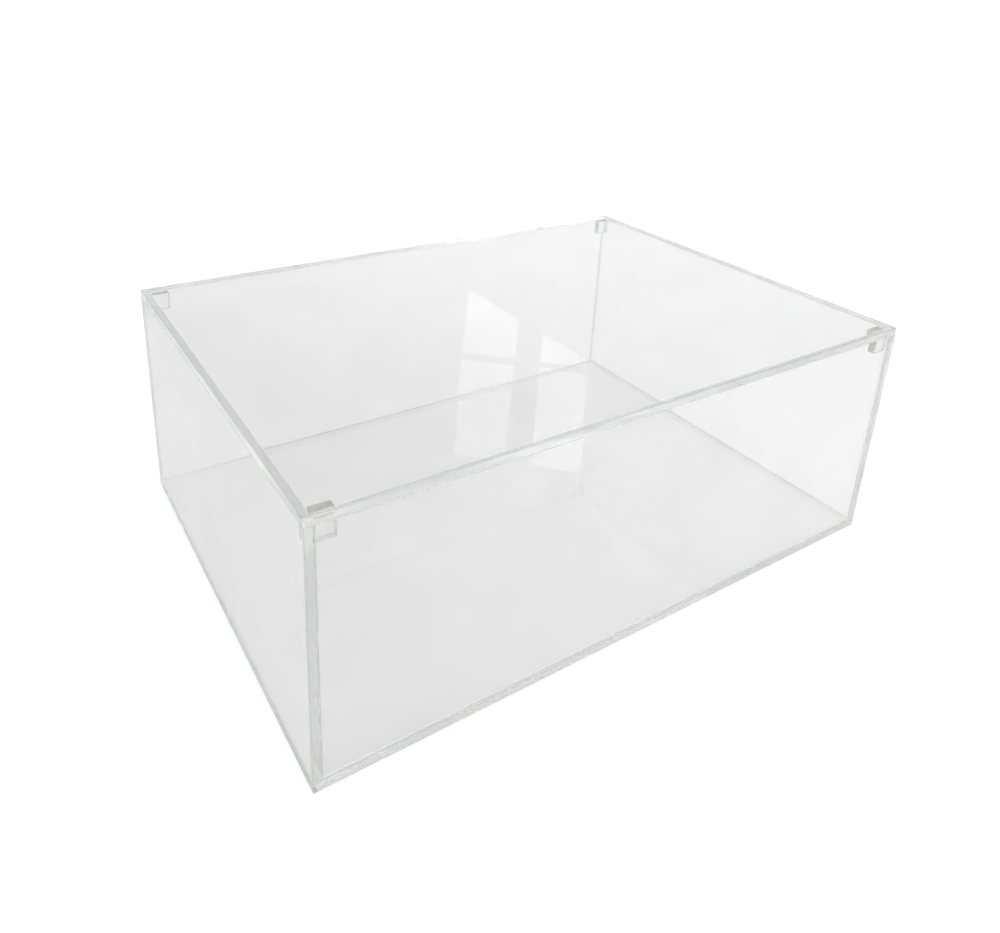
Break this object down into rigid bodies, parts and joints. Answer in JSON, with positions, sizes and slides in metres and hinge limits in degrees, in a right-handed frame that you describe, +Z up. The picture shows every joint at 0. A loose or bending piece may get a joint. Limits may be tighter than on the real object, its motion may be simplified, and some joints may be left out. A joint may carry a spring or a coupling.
{
  "type": "shoe box",
  "caption": "Clear acrylic shoe box: a case of flat cemented sheets with a flat lift-off lid, held in place by small blocks under its corners.",
  "frame": {"origin": "middle of the base's underside, where the box stands", "axes": "+X along the long front, to the right for someone facing it; +Y from the front to the back; +Z up through the lid"},
  "size_m": [0.34, 0.237, 0.127],
  "materials": {
    "bottom_acrylic": "polished clear acrylic sheet",
    "front_acrylic": "polished clear acrylic sheet",
    "back_acrylic": "polished clear acrylic sheet",
    "left_acrylic": "polished clear acrylic sheet",
    "right_acrylic": "polished clear acrylic sheet",
    "lid_acrylic": "polished clear acrylic sheet",
    "block_acrylic": "clear acrylic offcut with cut sides"
  },
  "bodies": {
    "case": {"bottom_panel": "bottom_acrylic", "front_panel": "front_acrylic", "back_panel": "back_acrylic", "left_panel": "left_acrylic", "right_panel": "right_acrylic"},
    "lid": {"lid_panel": "lid_acrylic", "lid_block_front_left": "block_acrylic", "lid_block_front_right": "block_acrylic", "lid_block_back_left": "block_acrylic", "lid_block_back_right": "block_acrylic"}
  },
  "joints": [
    {"name": "lid_lift", "type": "slide", "parent": "case", "child": "lid", "axis": [0, 0, 1], "range_m": [0, 0.16]}
  ]
}
